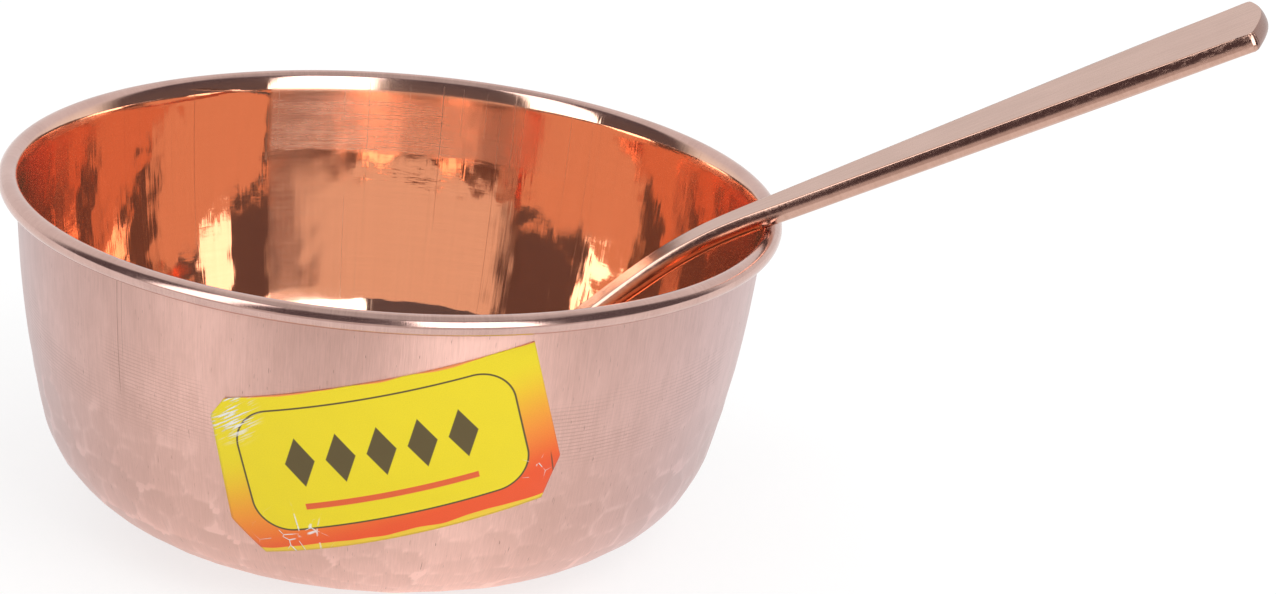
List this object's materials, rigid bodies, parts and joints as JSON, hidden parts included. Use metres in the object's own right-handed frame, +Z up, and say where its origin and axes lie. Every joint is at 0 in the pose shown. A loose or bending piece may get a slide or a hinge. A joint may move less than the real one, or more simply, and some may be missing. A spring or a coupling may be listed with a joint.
{
  "type": "serving bowl with spoon",
  "caption": "Round thin-walled copper serving bowl with a wire-rolled rim, a plain paper label on its wall and a forged serving spoon leaning in it.",
  "frame": {"origin": "centre of the flat base, on the surface that the bowl stands on", "axes": "+Z up out of the bowl's mouth; +X the way the spoon's handle leans out; the paper label faces -Y"},
  "size_m": [0.2187, 0.14, 0.1102],
  "materials": {
    "bowl_copper": "satin brushed and softly hammered outside, mirror polished inside and on the rim",
    "wire": "drawn wire",
    "label_paper": "coated paper, yellow to orange, worn at the corners",
    "spoon_copper": "satin brushed"
  },
  "bodies": {
    "bowl": {"bowl_shell": "bowl_copper", "rim_wire": "wire", "paper_label": "label_paper"},
    "spoon": {"serving_spoon": "spoon_copper"}
  },
  "joints": [
    {"name": "spoon_lift", "type": "slide", "parent": "bowl", "child": "spoon", "axis": [0, 0, 1], "range_m": [0, 0.08]}
  ]
}
